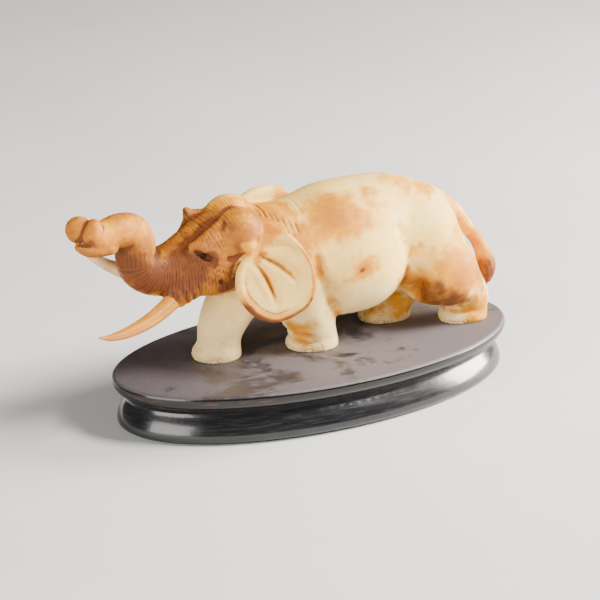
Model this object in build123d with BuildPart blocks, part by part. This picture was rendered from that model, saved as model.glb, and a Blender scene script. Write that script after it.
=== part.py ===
"""A carved wooden elephant, trunk raised, striding along a two-tier oval stand.

Millimetres. The origin is the centre of the felt's underside. +Z is up, the head points
towards -X, and the elephant's left side is towards -Y.
"""

from build123d import *
import os

os.makedirs("parts", exist_ok=True)

# ---------------------------------------------------------------- driving dimensions

# The stand: two stacked ovals with a waist between them, on a felt pad.
STAND_HALF_LENGTH = 85.0
STAND_HALF_WIDTH = 43.5
STAND_HEIGHT = 20.0
WAIST_HEIGHT = 11.4
FELT_THICKNESS = 1.0
FELT_INSET = 4.0

# How far each level of the stand's edge lies inside the widest oval: (height, inset).
TOP_EDGE_PROFILE = [
    (WAIST_HEIGHT, 5.5),
    (12.8, 4.4),
    (14.2, 2.4),
    (15.6, 0.9),
    (17.0, 0.2),
    (18.4, 0.0),
    (19.4, 0.35),
    (STAND_HEIGHT, 1.3),
]
PLINTH_EDGE_PROFILE = [
    (FELT_THICKNESS, 2.6),
    (1.6, 1.9),
    (3.2, 1.6),
    (5.0, 2.0),
    (7.0, 2.9),
    (9.2, 4.3),
    (WAIST_HEIGHT, 5.5),
]

# The carving's middle plane, slightly off the stand's long axis, and the way across it.
MID_Y = 2.5
ACROSS = Vector(0, 1, 0)

# The torso as upright ovals from chest to rump: (x, z, half width, half height).
TORSO = [
    (-30.0, 61.0, 13.0, 14.2),
    (-20.0, 59.0, 16.8, 17.8),
    (-6.0, 57.5, 20.5, 22.0),
    (10.0, 56.5, 23.0, 26.0),
    (24.0, 57.2, 22.0, 25.7),
    (36.0, 57.5, 18.5, 24.0),
    (48.0, 55.0, 17.0, 21.0),
    (58.0, 50.8, 15.0, 17.2),
    (65.0, 46.4, 11.0, 11.6),
    (70.0, 43.2, 6.0, 5.8),
    (72.0, 42.6, 2.0, 2.0),
]

# The head from neck to trunk root, in the same form.
HEAD = [
    (-20.0, 63.0, 13.0, 13.5),
    (-30.0, 64.5, 16.0, 18.5),
    (-40.0, 64.0, 15.5, 19.0),
    (-50.0, 61.5, 12.0, 14.0),
    (-60.0, 60.0, 8.0, 8.5),
]

# Egg-shaped swellings on the head, two temples, two brow ridges and two cheeks:
# (centre, direction of the long axis, half length, half thickness).
HEAD_EGGS = [
    ((-38.5, -5.2, 70.5), (0.42, -0.25, -0.87), 11.5, 8.4),
    ((-34.0, 8.0, 73.5), (0.45, 0.30, -0.84), 11.5, 8.8),
    ((-49.5, -6.0, 69.6), (0.90, -0.10, 0.42), 6.5, 3.6),
    ((-48.5, 9.5, 73.6), (0.92, 0.05, 0.38), 6.5, 3.6),
    ((-42.0, -7.0, 57.0), (0.90, 0.0, 0.20), 10.0, 6.5),
    ((-42.0, 11.5, 58.5), (0.90, 0.0, 0.20), 10.0, 6.5),
]
# The wrinkled lips that the tusks come out of, in the same form.
TUSK_LIPS = [
    ((-60.5, -4.0, 52.2), (0.78, 0.30, 0.55), 6.4, 4.5),
    ((-60.5, 9.0, 53.8), (0.85, -0.30, 0.30), 6.4, 4.5),
]

# The trunk's centre line and thickness: (x, y, z, radius).
TRUNK = [
    (-46.0, 2.5, 63.0, 12.0),
    (-57.0, 2.5, 60.2, 11.4),
    (-64.6, 2.5, 60.0, 9.7),
    (-70.8, 2.5, 61.2, 8.7),
    (-74.6, 2.6, 65.6, 8.0),
    (-75.6, 2.5, 71.0, 7.4),
    (-77.4, 1.8, 76.2, 6.8),
    (-82.4, 0.5, 78.9, 6.3),
    (-88.6, -0.8, 78.7, 5.7),
    (-94.6, -2.0, 79.0, 4.9),
]
# The two fleshy lobes and the lower finger at the trunk's end, in the same form.
TRUNK_END = [
    ((-96.9, -5.0, 82.3), (0.36, 0.10, 0.90), 5.0, 3.7),
    ((-99.5, 1.0, 82.2), (0.22, 0.10, 0.94), 4.9, 4.4),
    ((-95.4, -3.4, 75.8), (0.96, 0.05, -0.20), 5.6, 3.0),
]

# Legs as level rings from the sole up into the body: (x, y, height, x radius, y radius).
LEGS = {
    "left_front": [
        (-2.6, -1.8, STAND_HEIGHT, 10.3, 8.7),
        (-2.7, -1.9, 22.4, 10.5, 8.8),
        (-2.4, -2.3, 27.4, 9.2, 9.0),
        (-4.7, -3.2, 32.6, 10.8, 10.3),
        (-7.1, -4.2, 39.0, 11.6, 10.9),
        (-9.6, -4.6, 46.5, 12.2, 11.6),
        (-11.5, -3.5, 54.5, 12.8, 12.2),
        (-12.5, -1.0, 62.0, 10.0, 10.0),
        (-12.5, 1.0, 67.0, 5.0, 5.0),
    ],
    "right_front": [
        (-39.9, 6.5, STAND_HEIGHT, 9.7, 8.9),
        (-39.9, 6.5, 22.4, 9.8, 9.0),
        (-38.9, 6.5, 26.2, 8.6, 8.4),
        (-37.9, 6.6, 31.3, 9.0, 8.8),
        (-35.2, 7.0, 36.7, 10.6, 9.6),
        (-31.8, 7.5, 40.9, 12.4, 10.2),
        (-26.5, 7.8, 45.6, 14.0, 10.8),
        (-19.0, 7.4, 53.0, 14.0, 11.8),
        (-15.0, 5.5, 60.0, 9.0, 9.0),
    ],
    "left_hind": [
        (64.5, -7.0, STAND_HEIGHT, 10.1, 8.3),
        (64.5, -7.0, 22.2, 10.1, 8.3),
        (67.0, -7.0, 25.5, 8.2, 7.9),
        (66.2, -7.2, 29.4, 9.4, 8.5),
        (61.4, -7.6, 34.4, 13.0, 10.4),
        (53.5, -7.5, 41.0, 17.2, 12.9),
        (51.0, -7.2, 45.0, 16.8, 12.8),
        (49.0, -6.0, 52.0, 14.0, 11.4),
        (48.0, -2.0, 61.0, 6.0, 6.0),
    ],
    "right_hind": [
        (38.1, 9.8, STAND_HEIGHT, 10.9, 8.7),
        (38.2, 9.8, 22.2, 10.9, 8.8),
        (42.4, 10.2, 27.6, 9.0, 8.6),
        (44.4, 10.4, 34.0, 11.4, 10.6),
        (47.0, 11.2, 41.0, 15.4, 12.4),
        (48.0, 11.8, 47.0, 16.0, 12.6),
        (48.0, 10.4, 54.0, 12.6, 11.0),
        (47.5, 7.0, 61.0, 6.0, 6.0),
    ],
}

# The tail hangs clear of the rump and ends in a tuft: (x, y, z, radius).
TAIL = [
    (50.0, 2.5, 66.0, 3.6),
    (62.5, 2.5, 63.0, 3.8),
    (68.0, 2.5, 59.0, 3.3),
    (73.0, 2.4, 53.0, 2.8),
    (77.6, 2.1, 46.8, 2.8),
    (80.3, 1.6, 41.0, 3.4),
    (81.0, 0.8, 36.4, 4.1),
    (80.4, 0.2, 32.8, 3.2),
    (79.5, -0.4, 30.0, 1.4),
]

# Ears: a dished plate whose outline is drawn as (along, up) from the ear's centre.
EAR_OUTLINE = [
    (-5.2, 9.5),
    (-10.1, 4.6),
    (-12.5, 0.6),
    (-12.9, -3.0),
    (-12.1, -6.8),
    (-10.4, -10.5),
    (-7.8, -13.8),
    (-4.7, -16.0),
    (-0.1, -17.9),
    (5.1, -17.1),
    (10.3, -14.8),
    (14.7, -11.3),
    (16.2, -7.1),
    (16.3, -2.0),
    (14.1, 5.4),
    (11.9, 9.8),
    (8.9, 13.6),
    (5.2, 16.2),
    (1.6, 17.6),
    (-2.6, 16.4),
]
EAR_THICKNESS = 2.8
EAR_DISH_RADIUS = 46.0
EAR_BLOCK_DEPTH = 9.0
EAR_CENTRES = {"left": (-30.0, -18.5, 59.0), "right": (-11.0, 20.5, 62.5)}
EAR_ALONG = {"left": (0.92, -0.38, 0.0), "right": (0.80, -0.05, 0.50)}
EAR_FACING = {"left": (-0.366, -0.887, 0.282), "right": (-0.15, 0.93, 0.33)}

# Tusks: a round spigot in the head, then a tapering curve: (x, y, z, radius).
LEFT_TUSK = [
    (-60.5, -3.8, 52.6, 3.3),
    (-64.2, -4.8, 50.4, 3.25),
    (-71.2, -6.6, 47.0, 2.95),
    (-78.2, -8.0, 44.7, 2.55),
    (-86.1, -9.0, 43.1, 1.95),
    (-92.4, -9.5, 42.9, 1.2),
    (-96.6, -9.6, 43.7, 0.45),
]
RIGHT_TUSK = [
    (-60.5, 8.8, 54.4, 3.3),
    (-64.8, 10.4, 54.6, 3.2),
    (-71.5, 12.0, 56.8, 2.9),
    (-78.5, 12.8, 60.4, 2.5),
    (-85.0, 13.0, 64.4, 1.95),
    (-90.5, 12.8, 68.8, 1.2),
    (-93.6, 12.6, 72.0, 0.45),
]
SPIGOT_RADIUS = 2.0
SPIGOT_LENGTH = 7.0
SPIGOT_OVERLAP = 1.0

# Eyes: little round beads let into the head.
EYE_CENTRES = {"left": (-52.7, -8.0, 67.1), "right": (-47.3, 11.2, 66.5)}
EYE_RADIUS = 1.2

# Hidden joinery.
GLUE_GAP = 0.05
PEG_RADIUS = 1.6
PEG_BOTTOM = 14.0
PEG_TOP = 27.0
SCREW_SPOTS = [(-52.0, -17.0), (-52.0, 17.0), (52.0, -17.0), (52.0, 17.0)]
SCREW_RADIUS = 1.5
SCREW_TIP = 16.5
SCREW_HEAD_RADIUS = 3.2
SCREW_HEAD_DEPTH = 1.8


# ---------------------------------------------------------------- shape helpers


def unit(vector):
    """The same direction, one millimetre long."""
    return Vector(*vector).normalized()


def oval_tier(profile):
    """A solid oval tier of the stand from its edge profile."""
    with BuildPart() as tier:
        for height, inset in profile:
            with BuildSketch(Plane.XY.offset(height)):
                Ellipse(STAND_HALF_LENGTH - inset, STAND_HALF_WIDTH - inset)
        loft()
    return tier.part


def barrel(stations):
    """A body lofted through upright ovals that stand across the carving's length."""
    with BuildPart() as body:
        for x, z, half_width, half_height in stations:
            across = Plane(origin=(x, MID_Y, z), x_dir=ACROSS, z_dir=(1, 0, 0))
            with BuildSketch(across):
                Ellipse(half_width, half_height)
        loft()
    return body.part


def limb(rings):
    """A leg lofted through level ovals."""
    with BuildPart() as leg:
        for x, y, height, x_radius, y_radius in rings:
            with BuildSketch(Plane(origin=(x, y, height))):
                Ellipse(x_radius, y_radius)
        loft()
    return leg.part


def tube(stations):
    """A tapering, curving round tube through (x, y, z, radius) stations."""
    points = [Vector(x, y, z) for x, y, z, _ in stations]
    last = len(points) - 1
    with BuildPart() as run:
        for index, station in enumerate(stations):
            heading = unit(points[min(index + 1, last)] - points[max(index - 1, 0)])
            sideways = unit(ACROSS - heading * heading.dot(ACROSS))
            with BuildSketch(Plane(points[index], x_dir=sideways, z_dir=heading)):
                Circle(station[3])
        loft()
    return run.part


def egg(centre, direction, half_length, half_thickness):
    """An egg-shaped solid turned about its long axis."""
    long_axis = unit(direction)
    sideways = unit(ACROSS - long_axis * long_axis.dot(ACROSS))
    with BuildPart() as shape:
        with BuildSketch(Plane(Vector(*centre), x_dir=long_axis, z_dir=sideways)):
            Ellipse(half_length, half_thickness)
            with Locations((0, -half_thickness)):
                Rectangle(2 * half_length, 2 * half_thickness, mode=Mode.SUBTRACT)
        revolve(axis=Axis(centre, tuple(long_axis)))
    return shape.part


def ear(side):
    """One ear: the outline cut from a dished shell that is hollow on its outer face."""
    facing = unit(EAR_FACING[side])
    along = unit(EAR_ALONG[side])
    along = (along - facing * along.dot(facing)).normalized()
    centre = Vector(*EAR_CENTRES[side])
    up_sign = 1 if facing.cross(along).Z > 0 else -1
    outline = [(s, up_sign * t) for s, t in EAR_OUTLINE]
    dish_centre = centre + facing * EAR_DISH_RADIUS
    with BuildPart() as plate:
        with BuildSketch(Plane(origin=centre, x_dir=along, z_dir=facing)):
            with BuildLine():
                Spline(*outline, periodic=True)
            make_face()
        extrude(amount=EAR_BLOCK_DEPTH, both=True)
        with Locations(dish_centre):
            Sphere(EAR_DISH_RADIUS + EAR_THICKNESS, mode=Mode.INTERSECT)
            Sphere(EAR_DISH_RADIUS, mode=Mode.SUBTRACT)
    return plate.part


def spigot(stations, radius):
    """The round peg that runs back into the head from a tusk's root."""
    root = Vector(*stations[0][:3])
    heading = (root - Vector(*stations[1][:3])).normalized()
    with BuildPart() as pin:
        with BuildSketch(Plane(origin=root - heading * SPIGOT_OVERLAP, z_dir=heading)):
            Circle(radius)
        extrude(amount=SPIGOT_LENGTH)
    return pin.part


def peg(x, y, radius):
    """One upright dowel between the board and a sole."""
    with BuildPart() as dowel:
        with BuildSketch(Plane(origin=(x, y, PEG_BOTTOM))):
            Circle(radius)
        extrude(amount=PEG_TOP - PEG_BOTTOM)
    return dowel.part


# ---------------------------------------------------------------- the elephant

FOOT_CENTRES = [rings[0][:2] for rings in LEGS.values()]

torso = barrel(TORSO)
head = barrel(HEAD)
trunk = tube(TRUNK)
tail = tube(TAIL)
legs = [limb(rings) for rings in LEGS.values()]
ears = [ear(side) for side in EAR_CENTRES]
tusk_roots = {"left": LEFT_TUSK, "right": RIGHT_TUSK}

with BuildPart() as elephant:
    add(torso)
    add(head)
    add(legs)
    for swelling in HEAD_EGGS:
        add(egg(*swelling))
    add(trunk)
    for lobe in TUSK_LIPS + TRUNK_END:
        add(egg(*lobe))
    add(tail)
    add(ears)
    for stations in tusk_roots.values():
        add(tube(stations), mode=Mode.SUBTRACT)
        add(spigot(stations, SPIGOT_RADIUS + GLUE_GAP), mode=Mode.SUBTRACT)
    for centre in EYE_CENTRES.values():
        with Locations(centre):
            Sphere(EYE_RADIUS + GLUE_GAP, mode=Mode.SUBTRACT)
    for x, y in FOOT_CENTRES:
        add(peg(x, y, PEG_RADIUS + GLUE_GAP), mode=Mode.SUBTRACT)
elephant.part.label = "elephant"
export_step(elephant.part, "parts/elephant.step")


# ---------------------------------------------------------------- tusks and eyes

with BuildPart() as left_tusk:
    add(tube(LEFT_TUSK))
    add(spigot(LEFT_TUSK, SPIGOT_RADIUS))
left_tusk.part.label = "left_tusk"
export_step(left_tusk.part, "parts/left_tusk.step")

with BuildPart() as right_tusk:
    add(tube(RIGHT_TUSK))
    add(spigot(RIGHT_TUSK, SPIGOT_RADIUS))
right_tusk.part.label = "right_tusk"
export_step(right_tusk.part, "parts/right_tusk.step")

with BuildPart() as left_eye:
    with Locations(EYE_CENTRES["left"]):
        Sphere(EYE_RADIUS)
left_eye.part.label = "left_eye"
export_step(left_eye.part, "parts/left_eye.step")

with BuildPart() as right_eye:
    with Locations(EYE_CENTRES["right"]):
        Sphere(EYE_RADIUS)
right_eye.part.label = "right_eye"
export_step(right_eye.part, "parts/right_eye.step")


# ---------------------------------------------------------------- the stand

with BuildPart() as stand_top:
    add(oval_tier(TOP_EDGE_PROFILE))
    for x, y in FOOT_CENTRES:
        add(peg(x, y, PEG_RADIUS + GLUE_GAP), mode=Mode.SUBTRACT)
    with Locations([(x, y, (WAIST_HEIGHT + SCREW_TIP) / 2) for x, y in SCREW_SPOTS]):
        Cylinder(SCREW_RADIUS, SCREW_TIP - WAIST_HEIGHT, mode=Mode.SUBTRACT)
stand_top.part.label = "stand_top"
export_step(stand_top.part, "parts/stand_top.step")

with BuildPart() as stand_plinth:
    add(oval_tier(PLINTH_EDGE_PROFILE))
    with BuildSketch(Plane.XY.offset(FELT_THICKNESS)):
        with Locations(SCREW_SPOTS):
            Circle(SCREW_HEAD_RADIUS + GLUE_GAP)
    extrude(amount=SCREW_HEAD_DEPTH, mode=Mode.SUBTRACT)
    with BuildSketch(Plane.XY.offset(FELT_THICKNESS)):
        with Locations(SCREW_SPOTS):
            Circle(SCREW_RADIUS + GLUE_GAP)
    extrude(amount=WAIST_HEIGHT - FELT_THICKNESS, mode=Mode.SUBTRACT)
stand_plinth.part.label = "stand_plinth"
export_step(stand_plinth.part, "parts/stand_plinth.step")

with BuildPart() as felt_base:
    with BuildSketch():
        Ellipse(STAND_HALF_LENGTH - FELT_INSET, STAND_HALF_WIDTH - FELT_INSET)
    extrude(amount=FELT_THICKNESS)
felt_base.part.label = "felt_base"
export_step(felt_base.part, "parts/felt_base.step")


# ---------------------------------------------------------------- hidden fixings

with BuildPart() as foot_pegs:
    for x, y in FOOT_CENTRES:
        add(peg(x, y, PEG_RADIUS))
foot_pegs.part.label = "foot_pegs"
export_step(foot_pegs.part, "parts/foot_pegs.step")

with BuildPart() as stand_screws:
    with BuildSketch(Plane.XY.offset(FELT_THICKNESS)):
        with Locations(SCREW_SPOTS):
            Circle(SCREW_HEAD_RADIUS)
    extrude(amount=SCREW_HEAD_DEPTH)
    with BuildSketch(Plane.XY.offset(FELT_THICKNESS)):
        with Locations(SCREW_SPOTS):
            Circle(SCREW_RADIUS)
    extrude(amount=SCREW_TIP - FELT_THICKNESS)
stand_screws.part.label = "stand_screws"
export_step(stand_screws.part, "parts/stand_screws.step")
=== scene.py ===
"""The carved elephant on its oval stand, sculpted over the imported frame.

The carving is modelled as a distance field in millimetres, turned into one mesh, then engraved.
"""

from math import cos, radians, sin

import bmesh
import bpy
import numpy as np
import openvdb
from mathutils import Matrix, Vector


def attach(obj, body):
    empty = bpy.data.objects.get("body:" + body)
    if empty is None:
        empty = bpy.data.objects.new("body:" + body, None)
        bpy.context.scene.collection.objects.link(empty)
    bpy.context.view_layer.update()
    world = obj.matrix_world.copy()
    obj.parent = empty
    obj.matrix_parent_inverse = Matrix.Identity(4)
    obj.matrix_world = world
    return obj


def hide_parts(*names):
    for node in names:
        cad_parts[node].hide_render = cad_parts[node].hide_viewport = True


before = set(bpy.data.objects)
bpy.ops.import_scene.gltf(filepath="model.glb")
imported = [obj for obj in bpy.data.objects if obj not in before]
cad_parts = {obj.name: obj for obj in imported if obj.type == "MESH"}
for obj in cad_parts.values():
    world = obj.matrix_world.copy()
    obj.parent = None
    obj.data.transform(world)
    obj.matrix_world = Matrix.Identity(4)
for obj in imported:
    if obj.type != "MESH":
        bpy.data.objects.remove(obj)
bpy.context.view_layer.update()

MM = 0.001
STAND_TOP = 20.0
MID_Y = 2.5


# ------------------------------------------------------------------ vectors and curves


def unit(vector):
    vector = np.asarray(vector, float)
    return vector / np.linalg.norm(vector)


def smooth_path(points, steps=8):
    """A Catmull-Rom curve through rows of numbers, resampled finely."""
    points = np.asarray(points, float)
    padded = np.vstack([2 * points[0] - points[1], points, 2 * points[-1] - points[-2]])
    t = np.linspace(0, 1, steps, endpoint=False)[:, None]
    rows = []
    for a, b, c, d in zip(padded, padded[1:], padded[2:], padded[3:]):
        rows.append(
            0.5 * (2 * b + (c - a) * t + (2 * a - 5 * b + 4 * c - d) * t**2 + (3 * b - a - 3 * c + d) * t**3)
        )
    return np.vstack(rows + [points[-1:]])


def smooth_step(low, high, value):
    t = np.clip((value - low) / (high - low), 0, 1)
    return t * t * (3 - 2 * t)


def along_path(points, path):
    """For each point: distance to the path, arc length of the nearest place, and its index."""
    best = np.full(len(points), 1e9)
    length = np.zeros(len(points))
    place = np.zeros(len(points))
    run = 0.0
    for index, (a, b) in enumerate(zip(path[:-1, :3], path[1:, :3])):
        edge = b - a
        size = np.linalg.norm(edge)
        t = np.clip((points - a) @ edge / size**2, 0, 1)
        gap = np.linalg.norm(points - a - t[:, None] * edge, axis=1)
        nearer = gap < best
        best = np.where(nearer, gap, best)
        length = np.where(nearer, run + t * size, length)
        place = np.where(nearer, index + t, place)
        run += size
    return best, length, place


def closed_ring(outline):
    return smooth_path(list(outline) + [outline[0]], 4)[:-1]


def outline_gap(s, t, ring):
    """Distance to a closed flat outline, negative inside."""
    gap = np.full(s.shape, 1e9, np.float32)
    inside = np.zeros(s.shape, bool)
    for a, b in zip(ring, np.roll(ring, -1, axis=0)):
        edge = b - a
        along = np.clip(((s - a[0]) * edge[0] + (t - a[1]) * edge[1]) / float(edge @ edge), 0, 1)
        gap = np.minimum(gap, (s - a[0] - along * edge[0]) ** 2 + (t - a[1] - along * edge[1]) ** 2)
        if a[1] != b[1]:
            crosses = (t > a[1]) != (t > b[1])
            inside ^= crosses & (s < (b[0] - a[0]) * (t - a[1]) / (b[1] - a[1]) + a[0])
    return np.sqrt(gap) * np.where(inside, -1, 1)


def grid_corners(f):
    """The eight corners round each point, as grid offsets, and each one's share of the point."""
    for dx in (0, 1):
        for dy in (0, 1):
            for dz in (0, 1):
                share = (
                    (f[:, 0] if dx else 1 - f[:, 0])
                    * (f[:, 1] if dy else 1 - f[:, 1])
                    * (f[:, 2] if dz else 1 - f[:, 2])
                )
                yield dx, dy, dz, share


# ------------------------------------------------------------------ the clay

# Distance stored where nothing is near, in millimetres.
FAR_AWAY = 12.0


class Clay:
    """A block of distance values on a regular grid, in millimetres."""

    def __init__(self, low, high, step):
        self.low = np.array(low, float)
        self.step = step
        self.shape = np.ceil((np.array(high) - self.low) / step).astype(int) + 1
        self.field = np.full(self.shape, FAR_AWAY, np.float32)

    def patch(self, low, high):
        """The slices of the grid inside a box, and the coordinates there."""
        first = np.clip(np.floor((np.array(low) - self.low) / self.step), 0, self.shape - 1).astype(int)
        last = np.ceil((np.array(high) - self.low) / self.step) + 1
        last = np.clip(last, first + 1, self.shape).astype(int)
        axes = [(self.low[i] + self.step * np.arange(first[i], last[i])).astype(np.float32) for i in range(3)]
        where = tuple(slice(a, b) for a, b in zip(first, last))
        return where, np.meshgrid(*axes, indexing="ij")

    def join(self, where, shape, soft):
        """Adds a shape with a fillet about as wide as soft."""
        mine = self.field[where]
        overlap = np.maximum(soft - np.abs(mine - shape), 0) / soft
        self.field[where] = np.minimum(mine, shape) - overlap**2 * soft / 4

    def cut(self, where, shape, soft):
        """Takes a shape away with a rounded edge."""
        mine = self.field[where]
        overlap = np.maximum(soft - np.abs(mine + shape), 0) / soft
        self.field[where] = np.maximum(mine, -shape) + overlap**2 * soft / 4

    def egg(self, centre, radii, along=(1, 0, 0), up=(0, 0, 1), soft=4.0):
        """An ellipsoid whose first radius lies along one direction and third near up."""
        first = unit(along)
        third = unit(np.asarray(up, float) - first * np.dot(first, up))
        second = np.cross(third, first)
        reach = max(radii) + soft + 2
        centre = np.asarray(centre, float)
        where, (x, y, z) = self.patch(centre - reach, centre + reach)
        x, y, z = x - centre[0], y - centre[1], z - centre[2]
        scaled = 0
        steep = 0
        for axis, radius in zip((first, second, third), radii):
            part = (x * axis[0] + y * axis[1] + z * axis[2]) / radius
            scaled = scaled + part**2
            steep = steep + (part / radius) ** 2
        scaled = np.sqrt(scaled)
        shape = scaled * (scaled - 1) / np.maximum(np.sqrt(steep), 1e-6)
        self.join(where, shape.astype(np.float32), soft)

    def tube(self, stations, soft=4.0, cut=False, steps=6):
        """A tapering tube through (x, y, z, radius) stations, added or cut away."""
        path = smooth_path(stations, steps)
        reach = path[:, 3].max() + soft + 2
        where, (x, y, z) = self.patch(path[:, :3].min(0) - reach, path[:, :3].max(0) + reach)
        shape = np.full(x.shape, 99.0, np.float32)
        for a, b in zip(path[:-1], path[1:]):
            edge = b[:3] - a[:3]
            size = max(float(edge @ edge), 1e-9)
            px, py, pz = x - a[0], y - a[1], z - a[2]
            t = np.clip((px * edge[0] + py * edge[1] + pz * edge[2]) / size, 0, 1)
            px, py, pz = px - t * edge[0], py - t * edge[1], pz - t * edge[2]
            gap = np.sqrt(px**2 + py**2 + pz**2) - (a[3] + t * (b[3] - a[3]))
            shape = np.minimum(shape, gap)
        (self.cut if cut else self.join)(where, shape, soft)

    def barrel(self, stations, soft=4.0):
        """A body through upright ovals: (x, top, bottom, half width) at the carving's middle plane."""
        path = smooth_path(stations, 10)
        low = [path[:, 0].min(), MID_Y - path[:, 3].max(), path[:, 2].min()]
        high = [path[:, 0].max(), MID_Y + path[:, 3].max(), path[:, 1].max()]
        margin = soft + 2
        where, (x, y, z) = self.patch(np.array(low) - margin, np.array(high) + margin)
        order = np.argsort(path[:, 0])
        along = path[order, 0]
        column = x[:, :1, :1]
        top, bottom, wide = (np.interp(column, along, path[order, i]) for i in (1, 2, 3))
        half = (top - bottom) / 2
        steep = np.gradient(half[:, 0, 0], self.step)[:, None, None]
        across = (y - MID_Y) / wide
        upright = (z - (top + bottom) / 2) / half
        round_ = np.sqrt(across**2 + upright**2)
        slant = np.sqrt((across / wide) ** 2 + (upright / half) ** 2)
        shape = round_ * (round_ - 1) / np.maximum(slant, 1e-6) / np.sqrt(1 + steep**2)
        beyond = np.maximum(along[0] - x, x - along[-1])
        shape = np.maximum(shape, beyond)
        self.join(where, shape.astype(np.float32), soft)

    def plate(self, centre, axes, outline, thick, bend, soft=1.0):
        """A bent sheet inside a closed outline of points, given along the first two of its three axes."""
        along, up, facing = axes
        centre = np.asarray(centre, float)
        ring = closed_ring(outline)
        reach = np.abs(ring).max() + soft + 4
        where, (x, y, z) = self.patch(centre - reach, centre + reach)
        x, y, z = x - centre[0], y - centre[1], z - centre[2]
        s = x * along[0] + y * along[1] + z * along[2]
        t = x * up[0] + y * up[1] + z * up[2]
        n = x * facing[0] + y * facing[1] + z * facing[2]
        edge = outline_gap(s, t, ring)
        over = np.abs(n - bend(s, t)) - thick / 2
        shape = np.sqrt(np.maximum(edge + thick / 2, 0) ** 2 + np.maximum(over + thick / 2, 0) ** 2)
        shape = shape + np.minimum(np.maximum(edge, over) + thick / 2, 0) - thick / 2
        self.join(where, shape.astype(np.float32), soft)

    def floor(self, height):
        """Cuts everything below a level plane."""
        z = self.low[2] + self.step * np.arange(self.shape[2])
        self.field = np.maximum(self.field, (height - z).astype(np.float32)[None, None, :])

    def read(self, points):
        """Distance at points, by linear interpolation."""
        at = np.clip((points - self.low) / self.step, 0, self.shape - 1.001)
        base = np.minimum(at.astype(int), self.shape - 2)
        f = at - base
        total = 0
        for dx, dy, dz, share in grid_corners(f):
            total = total + share * self.field[base[:, 0] + dx, base[:, 1] + dy, base[:, 2] + dz]
        return total

    def slope(self, points):
        """Outward direction at points."""
        step = self.step
        sides = []
        for axis in range(3):
            shift = np.zeros(3)
            shift[axis] = step
            sides.append(self.read(points + shift) - self.read(points - shift))
        slope = np.stack(sides, 1)
        return slope / np.maximum(np.linalg.norm(slope, axis=1, keepdims=True), 1e-9)

    def hollow(self, points, reach):
        """How concave the surface is at points, over about reach millimetres; negative where it bulges."""
        total = -6 * self.read(points)
        for axis in range(3):
            shift = np.zeros(3)
            shift[axis] = reach
            total = total + self.read(points + shift) + self.read(points - shift)
        return -total / reach**2
# ------------------------------------------------------------------ the animal's forms

# Torso as (x, top, bottom, half width).
TORSO = [
    (-31.0, 75.0, 47.0, 12.5), (-20.0, 76.6, 41.5, 16.5), (-7.0, 79.2, 36.5, 19.6),
    (6.0, 81.4, 33.5, 21.0), (18.0, 82.8, 31.5, 21.4), (26.0, 82.9, 32.0, 19.0),
    (33.0, 82.2, 34.0, 16.6), (42.0, 79.4, 34.0, 15.6), (50.0, 75.0, 34.0, 15.4),
    (57.0, 69.2, 34.0, 14.4), (62.0, 62.6, 35.0, 12.2), (66.8, 54.6, 36.0, 9.2),
    (70.2, 47.6, 38.0, 5.6), (71.8, 43.4, 41.8, 1.2),
]
# Tubes are (x, y, z, radius).
TRUNK_PATH = [
    (-42.1, 2.5, 63.6, 14.8), (-48.5, 2.5, 61.4, 13.0), (-55.7, 2.5, 59.9, 11.4),
    (-62.8, 2.5, 59.9, 9.6), (-69.0, 2.5, 60.6, 8.8), (-73.4, 2.5, 63.4, 8.2), (-75.2, 2.5, 67.6, 7.6),
    (-75.3, 2.4, 73.1, 7.3), (-77.6, 1.6, 77.6, 6.8), (-83.0, 0.4, 79.2, 6.3),
    (-89.3, -0.8, 78.7, 5.7), (-94.6, -2.0, 79.0, 4.8),
]
EAR_OUTLINE = [
    (-5.4, 7.8), (-8.8, 6.1), (-11.4, 3.7), (-12.8, 0.8), (-13.2, -2.9), (-12.6, -6.6), (-10.7, -10.4),
    (-8.0, -13.7), (-5.0, -16.0), (-0.4, -17.9), (4.9, -17.1), (10.0, -14.7), (13.5, -11.8),
    (15.1, -8.7), (16.0, -5.4), (16.0, -1.7), (15.2, 2.4), (13.9, 5.6), (11.6, 9.6), (8.6, 13.2),
    (5.0, 16.4), (0.4, 18.6), (-4.5, 19.0), (-9.0, 16.5), (-9.6, 12.0),
]
# Lines on an ear as (along, up): the rolled front edge, the pleats and one raised fold.
EAR_ROLL = [
    (-5.6, 7.4, 0.8), (-8.8, 5.4, 1.15), (-11.4, 2.0, 1.3), (-12.3, -2.8, 1.3), (-11.6, -7.0, 1.3),
    (-9.7, -11.0, 1.2), (-6.9, -14.2, 1.0), (-3.0, -16.4, 0.8), (1.5, -17.0, 0.5),
]
EAR_PLEATS = [
    [(-4.6, 9.1), (-0.6, 9.6), (2.9, 10.0), (6.3, 9.8), (9.3, 8.5)],
    [(-5.5, 6.9), (-3.7, 6.4), (-0.3, 5.0), (3.4, 2.9), (6.7, 0.0), (9.0, -3.1)],
    [(-6.8, 4.5), (-4.3, 2.2), (-1.9, -1.3), (-0.4, -4.8), (0.8, -8.6), (1.1, -11.7)],
]
PLEAT_DEPTHS = (2.0, 3.2, 3.3)
PLEAT_WIDTHS = (1.7, 1.45, 1.4)
EAR_THICK = 2.2
# The rolled edge stands off the sheet, and is fuller than its listed radii.
ROLL_LIFT, ROLL_SWELL = 0.9, 1.25
EAR_FOLD = [(-7.8, 4.2), (-6.1, 1.0), (-4.0, -3.0), (-2.2, -6.8), (-0.6, -10.4), (0.2, -12.8)]
# Each ear's sheet: its centre, its own two directions, and how far its top lies back on the neck.
EARS = {
    "left": {
        "centre": (-30.0, -18.5, 59.0),
        "along": (0.92, -0.38, 0.0),
        "facing": (-0.366, -0.887, 0.282),
        "lay": 0.042,
    },
    "right": {
        "centre": (-11.6, 20.0, 61.8),
        "along": (0.80, -0.05, 0.50),
        "facing": (-0.15, 0.93, 0.33),
        "lay": 0.0,
    },
}
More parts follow.
